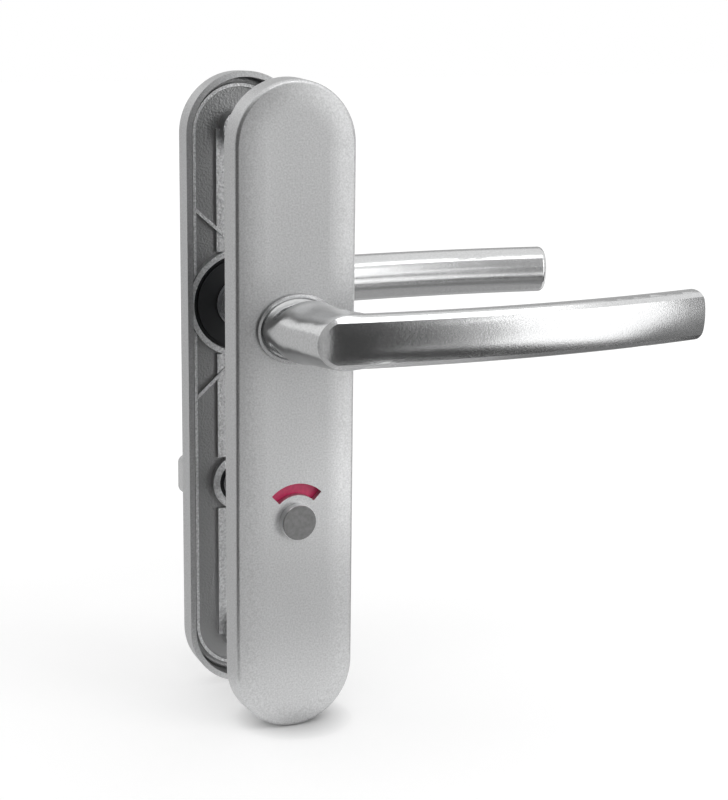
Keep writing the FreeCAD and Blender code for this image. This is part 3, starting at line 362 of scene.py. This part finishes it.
finishes = {"plate_silver": cast_plate("plate_silver")}
print("cast finish:", *finishes)

# %% [markdown]
# ## Satin levers
#
# The levers go through a polishing drum after the blasting. They mirror the room as broad
# soft bands, and the grain that is left only shows where light turns to dark. Low roughness
# alone would look like chrome. A fine grain breaks the edges of the bands, and a wide ripple
# bends them a little, as on a casting that was never quite even.

# %% Satin lever
LEVER_GREY = 0.66
LEVER_DARK = 0.92
LEVER_LIGHT = 1.05
LEVER_GRAIN = 0.0007
LEVER_CLOUDS = LEVER_GRAIN * 18
LEVER_ROUGH = (0.18, 0.22)
RIPPLE_DEPTH = 0.0003
RIPPLE_STRENGTH = 0.08
PIT_DEPTH = 0.00004
PIT_STRENGTH = 0.6


def vary_colour(material, shader, noise, dark, light):
    """Let the shader's colour wander from dark to light with a noise."""
    colour = tone(material, noise, dark, light)
    material.node_tree.links.new(colour, shader.inputs["Base Color"])


def satin_lever(name):
    """The material of both levers and of the thumb turn."""
    material, shader = new_material(name, grey(LEVER_GREY), METAL, LEVER_ROUGH[0])
    grain = add_noise(material, LEVER_GRAIN)
    clouds = add_noise(material, LEVER_CLOUDS)
    dark = grey(LEVER_GREY * LEVER_DARK)
    vary_colour(material, shader, grain, dark, grey(LEVER_GREY * LEVER_LIGHT))
    rough = spread(material, clouds, *LEVER_ROUGH)
    material.node_tree.links.new(rough, shader.inputs["Roughness"])
    layers = [(clouds, RIPPLE_DEPTH, RIPPLE_STRENGTH), (grain, PIT_DEPTH, PIT_STRENGTH)]
    add_bumps(material, shader, layers)
    return material


finishes["lever_silver"] = satin_lever("lever_silver")
print("satin finish added:", len(finishes))

# %% [markdown]
# ## Plain finishes
#
# The small pieces each have one even finish: bright springs and clips, zinc-plated steel,
# blackened set screws, black bearings, and a white disc with a crimson label. Six materials
# could be written out one by one, but they differ only in numbers, so one recipe makes them
# all: a colour, a roughness, and the width and depth of a faint grain.

# %% Plain finish
PLAIN_DARK = 0.88
PLAIN_LIGHT = 1.1
PLAIN_STRENGTH = 0.4


def plain_finish(name, colour, metallic, roughness, grain_size, grain_depth):
    """A material of one colour and roughness, with a faint grain."""
    material, shader = new_material(name, colour, metallic, roughness)
    grain = add_noise(material, grain_size)
    dark = tuple(channel * PLAIN_DARK for channel in colour)
    light = tuple(min(channel * PLAIN_LIGHT, 1.0) for channel in colour)
    vary_colour(material, shader, grain, dark, light)
    add_bumps(material, shader, [(grain, grain_depth, PLAIN_STRENGTH)])
    return material


# name, colour, metal or plastic, roughness, width and depth of the grain
PLAIN_FINISHES = [
    ("bright_steel", (0.62, 0.63, 0.64), METAL, 0.22, 0.0006, 0.00001),
    ("zinc_steel", (0.58, 0.59, 0.61), METAL, 0.34, 0.0009, 0.00002),
    ("black_steel", (0.05, 0.05, 0.055), METAL, 0.45, 0.0006, 0.00002),
    ("black_plastic", (0.010, 0.011, 0.013), PLASTIC, 0.48, 0.0007, 0.00003),
    ("white_plastic", (0.78, 0.78, 0.76), PLASTIC, 0.45, 0.001, 0.00001),
    ("crimson", (0.60, 0.026, 0.115), PLASTIC, 0.35, 0.0012, 0.00001),
]
for row in PLAIN_FINISHES:
    finishes[row[0]] = plain_finish(*row)
print("plain finishes:", len(PLAIN_FINISHES))

# %% [markdown]
# ## The turned button
#
# The release button was cut on a lathe: its end face is a dull grey, and its side was left
# bright by the tool. As with the plates, one material can hold both. Here the normal alone
# tells them apart, because the side's normals lie across the Y axis and the face's along it.

# %% Turned button
BUTTON_GREY = (0.27, 0.27, 0.27)
BUTTON_ROUGH = 0.6
BUTTON_GRAIN = 0.0012
BUTTON_DEPTH = 0.00001
TURNED_GREY = 0.92
TURNED_ROUGH = 0.3
SIDE_LIMIT = 0.7


def turned_button(name):
    """A grey end face, and a bright turned side."""
    material = plain_finish(name, BUTTON_GREY, METAL, BUTTON_ROUGH, BUTTON_GRAIN, BUTTON_DEPTH)
    tree = material.node_tree
    shader = tree.nodes["Principled BSDF"]
    surface = tree.nodes.new("ShaderNodeNewGeometry")
    facing = reckon(tree, "ABSOLUTE", take_y(tree, surface.outputs["Normal"]))
    side = reckon(tree, "LESS_THAN", facing, SIDE_LIMIT)
    face = shader.inputs["Base Color"].links[0].from_socket
    colour = choose_colour(material, side, face, opaque(grey(TURNED_GREY)))
    tree.links.new(colour, shader.inputs["Base Color"])
    rough = choose(material, side, BUTTON_ROUGH, TURNED_ROUGH)
    tree.links.new(rough, shader.inputs["Roughness"])
    return material


finishes["button_grey"] = turned_button("button_grey")
print("finishes in all:", len(finishes))

# %% [markdown]
# ## Who wears what
#
# A frame's node keeps its shape and place, and only its material slots are filled. That
# could be done node by node, but a table of finishes with their pieces is easier to read,
# and easier to check against the real thing.

# %% Give each node its finish
PIECES_IN = {
    "plate_silver": ["outside_plate", "inside_plate"],
    "lever_silver": ["outside_lever", "inside_lever", "thumb_turn"],
    "button_grey": ["release_button"],
    "black_plastic": ["outside_bearing", "inside_bearing", "thumb_turn_bush"],
    "bright_steel": [
        "outside_return_spring", "inside_return_spring", "outside_circlip", "inside_circlip",
        "release_clip", "thumb_turn_clip",
    ],
    "zinc_steel": [
        "outside_washer", "inside_washer", "lever_spindle", "lock_spindle", "fixing_screws",
    ],
    "black_steel": ["outside_grub_screw", "inside_grub_screw", "thumb_turn_grub"],
    "white_plastic": ["indicator_disc"],
    "crimson": ["indicator_red_label"],
}
for finish, names in PIECES_IN.items():
    for name in names:
        for place in nodes[name].material_slots:
            place.material = finishes[finish]
print("nodes with a finish:", sum(map(len, PIECES_IN.values())), "of", len(nodes))

# %% [markdown]
# ## The table
#
# The pair stands on a white table. A table white enough to vanish could be had with more
# light, but then the silver would burn out. So the table has a little glow of its own, which
# only the camera and reflections see, and it keeps the soft shadow that the pair throws on
# it. Close to the foot of the outside plate the glow fades out, which paints a darker shadow
# spot there.

# %% Table top
FLOOR_HEIGHT = cad_low.z
FLOOR_SIZE = 8.0


def new_piece(name, points, faces):
    """A mesh of the studio: it isn't part of the pair."""
    mesh = bpy.data.meshes.new(name)
    mesh.from_pydata(points, [], faces)
    piece = bpy.data.objects.new(name, mesh)
    bpy.context.scene.collection.objects.link(piece)
    return piece


half_floor = FLOOR_SIZE / 2
floor_corners = [
    (-half_floor, -half_floor, FLOOR_HEIGHT),
    (half_floor, -half_floor, FLOOR_HEIGHT),
    (half_floor, half_floor, FLOOR_HEIGHT),
    (-half_floor, half_floor, FLOOR_HEIGHT),
]
floor = new_piece("floor", floor_corners, [(0, 1, 2, 3)])
print("floor at:", round(FLOOR_HEIGHT, 4))

# %% [markdown]
# ## The table's glow
#
# The light path tells a material what kind of ray has hit it. A glow that is multiplied by
# that answer exists only for the rays that it is meant for. Its strength comes from a colour
# ramp over the distance from the plate's foot, because a ramp can have as many stops as the
# fade needs. Where the ramp falls to nothing, at the foot, it paints a shadow.

# %% A glow for camera and mirrors
def empty_tree(owner, output_kind="ShaderNodeOutputMaterial"):
    """The node tree of a material or world, with only its output, and the socket of that."""
    owner.use_nodes = True
    tree = owner.node_tree
    tree.nodes.clear()
    output = tree.nodes.new(output_kind)
    return tree, output.inputs["Surface"]


def add_glow(tree, strength):
    """A white glow, with a number or a socket for its strength."""
    glow = tree.nodes.new("ShaderNodeEmission")
    feed(tree, strength, glow.inputs["Strength"])
    return glow.outputs["Emission"]


def seen_or_mirrored(tree):
    """1 for rays from the camera, off metal or through glass, and 0 for all others."""
    path = tree.nodes.new("ShaderNodeLightPath")
    total = path.outputs["Is Camera Ray"]
    for name in ("Is Glossy Ray", "Is Transmission Ray"):
        total = reckon(tree, "MAXIMUM", total, path.outputs[name])
    return total


print("helpers for glow: empty_tree, add_glow, seen_or_mirrored")


# %% A level that follows a distance
def level_by_distance(tree, centre, stops):
    """A level that follows the distance from a place, by stops of distance and level."""
    place = tree.nodes.new("ShaderNodeTexCoord")
    distance = tree.nodes.new("ShaderNodeVectorMath")
    distance.operation = "DISTANCE"
    distance.inputs[1].default_value = centre
    tree.links.new(place.outputs["Object"], distance.inputs[0])
    node = tree.nodes.new("ShaderNodeValToRGB")
    ramp = node.color_ramp
    while len(ramp.elements) < len(stops):
        ramp.elements.new(0.5)
    for stop, (far, level) in zip(ramp.elements, stops):
        stop.position = far
        stop.color = (level, level, level, 1.0)
    tree.links.new(distance.outputs["Value"], node.inputs["Fac"])
    return node.outputs["Color"]


print("helper for fading: level_by_distance")

# %% Paint the table
FLOOR_COLOUR = 0.6
# a painted shadow: round this place by the foot of the outside plate the glow fades to nothing
PAINTED_SHADOW_PLACE = (0.003, -0.022, FLOOR_HEIGHT)
# distance from that place, in metres, and the glow there; no glow near it paints a shadow
GLOW_AND_PAINTED_SHADOW = [(0.008, 0.0), (0.024, 0.45), (0.60, 0.58)]


def white_table(name, colour, foot, stops):
    """A matt white that glows a little for camera and reflections, more so further out, and not
    at all near the foot, which paints a shadow there.
    """
    material = bpy.data.materials.new(name)
    tree, surface = empty_tree(material)
    matt = tree.nodes.new("ShaderNodeBsdfDiffuse")
    matt.inputs["Color"].default_value = (colour, colour, colour, 1.0)
    level = level_by_distance(tree, foot, stops)
    shine = add_glow(tree, reckon(tree, "MULTIPLY", seen_or_mirrored(tree), level))
    both = tree.nodes.new("ShaderNodeAddShader")
    tree.links.new(matt.outputs["BSDF"], both.inputs[0])
    tree.links.new(shine, both.inputs[1])
    tree.links.new(both.outputs["Shader"], surface)
    return material


floor.data.materials.append(white_table("table_white", FLOOR_COLOUR, PAINTED_SHADOW_PLACE, GLOW_AND_PAINTED_SHADOW))
print("stops in the glow:", len(GLOW_AND_PAINTED_SHADOW))

# %% [markdown]
# ## Cards
#
# Satin metal has hardly a colour of its own: it shows the room. More lamps would only make
# it brighter. A photographer stands grey and black cards round such a thing instead, out of
# the picture, and each card draws one band on the metal. Only reflections see the cards
# here, so they throw no shadow and take no light.

# %% Make a card
def card_grey(level):
    """The even grey of a card, as a weak glow."""
    material = bpy.data.materials.new(f"card_grey_{round(level * 1000):04d}")
    tree, surface = empty_tree(material)
    tree.links.new(add_glow(tree, level), surface)
    return material


def only_in_reflections(piece):
    """Hide a piece from everything but shiny surfaces."""
    piece.visible_camera = False
    piece.visible_diffuse = False
    piece.visible_transmission = False
    piece.visible_shadow = False
    piece.visible_volume_scatter = False
    piece.visible_glossy = True


def new_card(name, points, faces, level):
    """A card of one grey, which only reflections see."""
    card = new_piece(name, points, faces)
    card.data.materials.append(card_grey(level))
    only_in_reflections(card)


print("cards stand on the table at:", round(FLOOR_HEIGHT, 4))

# %% [markdown]
# ## Cards in arcs
#
# Most cards are arcs round the pair. Each is a strip on the table and a low wall behind it,
# because the metal mirrors the table as much as what stands on it. Flat cards would leave
# gaps at their corners, and arcs meet without any. An azimuth is counted in degrees from
# straight in front of the outside plate towards the tips of the levers.

# %% Make an arc
CARD_LIFT = 0.001
ARC_STEP = 4.0


def card_column(azimuth, foot, near, far, top):
    """A card's points at one azimuth: near edge, far edge, and the top of its wall if any."""
    angle = math.radians(azimuth)
    out = Vector((math.sin(angle), -math.cos(angle), 0.0))
    column = [foot + out * near, foot + out * far]
    if top is not None:
        column.append(column[-1] + Vector((0.0, 0.0, top - foot.z)))
    return column


def add_arc(name, start, end, level, near, far, top=None, centre=(0.0, 0.0), lift=CARD_LIFT):
    """A card from one azimuth to another: a strip on the table, with a wall up to top."""
    foot = Vector((*centre, FLOOR_HEIGHT + lift))
    steps = max(1, round((end - start) / ARC_STEP))
    points = []
    faces = []
    for number in range(steps + 1):
        azimuth = start + (end - start) * number / steps
        column = card_column(azimuth, foot, near, far, top)
        here = len(points)
        before = here - len(column)
        if number > 0:
            for row in range(len(column) - 1):
                faces.append((before + row, before + row + 1, here + row + 1, here + row))
        points.extend(column)
    new_card(name, points, faces, level)


print("an arc turns by", ARC_STEP, "degrees a step")

# %% Arcs round the pair
# name, first and last azimuth, grey level, near and far edge, top of the wall
ARCS = [
    ("card_left", -100, -25, 0.10, 0.10, 1.2, 1.50),
    ("card_front_near", -12, 16, 0.55, 0.10, 0.34, None),
    ("card_front", -25, 15, 0.05, 0.34, 1.2, 1.50),
    ("card_front_left", -25, -12, 0.06, 0.10, 0.34, None),
    ("card_edge_dark", 15, 20, 0.20, 0.52, 1.2, 0.90),
    ("card_plate_grey", 16, 29, 0.55, 0.10, 0.52, None),
    ("card_edge_mid", 20, 28, 0.45, 0.52, 1.2, 0.20),
    ("card_right_near", 29, 52, 0.55, 0.12, 0.42, None),
    ("card_bright_right", 29, 50, 1.70, 0.42, 1.2, 0.25),
    ("card_right_edge", 52, 78, 0.22, 0.12, 1.2, 0.34),
    ("card_behind_right", 115, 185, 0.52, 0.10, 1.2, 1.00),
    ("card_behind_left", -175, -100, 0.62, 0.03, 1.2, 0.45),
]
for name, start, end, level, near, far, top in ARCS:
    add_arc(name, start, end, level, near, far, top)
print("cards in arcs:", len(ARCS))

# %% [markdown]
# ## Low cards
#
# The undersides of the grips mirror the table right below them, and the foot of the plate
# mirrors the table before it. The arcs round the pair are too wide for that. Four smaller
# strips lie on top of them, about centres of their own: two in front of the grips, one
# before the foot, and one under the grips. Each has its own small lift, so that none lies in
# the plane of another.

# %% Low cards
# name, first and last azimuth, grey level, near and far edge, centre on the plan, lift
LOW_CARDS = [
    ("card_low_front", 5, 95, 0.05, 0.16, 0.25, (0.12, -0.05), 0.004),
    ("card_low_left", -14, 34, 0.04, 0.16, 0.36, (0.06, -0.05), 0.0045),
    ("card_low_foot", 0, 40, 0.40, 0.09, 0.17, (0.0, -0.03), 0.003),
    ("card_under_grips", 0, 360, 0.45, 0.0, 0.095, (0.145, 0.03), 0.005),
]
for name, start, end, level, near, far, centre, lift in LOW_CARDS:
    add_arc(name, start, end, level, near, far, centre=centre, lift=lift)
print("low cards:", len(LOW_CARDS))

# %% [markdown]
# ## Upright cards
#
# Some bands need a card in one small place. A grey one hangs over the front, and the inside
# lever's back mirrors it. Four more stand close to the outside plate and light it, where the
# face of the lever can't mirror them. A flat sheet on edge is enough for each.

# %% Upright cards
PATCH_LOW = FLOOR_HEIGHT + 0.036
PATCH_HIGH = -0.092


def add_upright_card(name, left, right, low, high, level):
    """A flat card that stands between two places on the plan, clear of the table."""
    corners = [(*left, low), (*right, low), (*right, high), (*left, high)]
    new_card(name, corners, [(0, 1, 2, 3)], level)


# name, left and right place on the plan, lower and upper edge, grey level
UPRIGHT_CARDS = [
    ("card_high_band", (0.30, -1.15), (0.62, -1.02), 0.26, 1.0, 0.45),
    ("card_crown", (-0.019, -0.078), (0.000, -0.078), PATCH_LOW, 0.080, 0.50),
    ("card_button", (-0.064, -0.170), (-0.044, -0.170), -0.140, -0.095, 3.0),
    ("card_patch", (0.040, -0.172), (0.078, -0.160), PATCH_LOW, PATCH_HIGH, 1.7),
    ("card_patch_right", (0.082, -0.158), (0.15, -0.125), PATCH_LOW, PATCH_HIGH, 3.0),
]
for row in UPRIGHT_CARDS:
    add_upright_card(*row)
print("upright cards:", len(UPRIGHT_CARDS))

# %% [markdown]
# ## World
#
# The world is an even soft light, as in a white room. Camera and metal would see the same
# grey as the light has, so the world gets two strengths, and the light path chooses: a
# plain white for what is seen or mirrored, and a softer light for all that is lit by it.

# %% World
WORLD_LIGHT = 0.8
WORLD_SEEN = 1.0


def set_world():
    """Soft light on the object, and white to camera and reflections."""
    world = bpy.data.worlds.new("studio")
    bpy.context.scene.world = world
    tree, surface = empty_tree(world, "ShaderNodeOutputWorld")
    either = tree.nodes.new("ShaderNodeMixShader")
    for socket, strength in zip(either.inputs[1:], (WORLD_LIGHT, WORLD_SEEN)):
        sky = tree.nodes.new("ShaderNodeBackground")
        sky.inputs["Color"].default_value = (1.0, 1.0, 1.0, 1.0)
        sky.inputs["Strength"].default_value = strength
        tree.links.new(sky.outputs["Background"], socket)
    tree.links.new(seen_or_mirrored(tree), either.inputs["Fac"])
    tree.links.new(either.outputs["Shader"], surface)


set_world()
print("world light:", WORLD_LIGHT, "seen as:", WORLD_SEEN)

# %% [markdown]
# ## Lamps
#
# One large soft lamp stands in front at the right, where the face of the levers mirrors it,
# and one hangs in front above. Small lamps would give hard specks on satin metal. A wide area
# lamp gives a broad highlight that fades at its edges, like a window.

# %% Lamps
# name, place, width, height, power in watts
LAMPS = [
    ("front_right", (0.95, -1.25, 0.35), 0.8, 0.9, 3.6),
    ("high_front", (0.20, -0.80, 1.08), 1.4, 0.36, 3.0),
]


def add_soft_lamp(name, place, width, height, power, target):
    """An oblong soft lamp that points at a target, and that the camera doesn't see."""
    data = bpy.data.lights.new(name, "AREA")
    data.shape = "RECTANGLE"
    data.size = width
    data.size_y = height
    data.energy = power
    lamp = bpy.data.objects.new(name, data)
    lamp.matrix_world = aim_at(Vector(place), target)
    lamp.visible_camera = False
    bpy.context.scene.collection.objects.link(lamp)


middle = (cad_low + cad_high) / 2
for row in LAMPS:
    add_soft_lamp(*row, middle)
bpy.context.scene.view_settings.view_transform = "Standard"
print("lamps:", len(LAMPS))
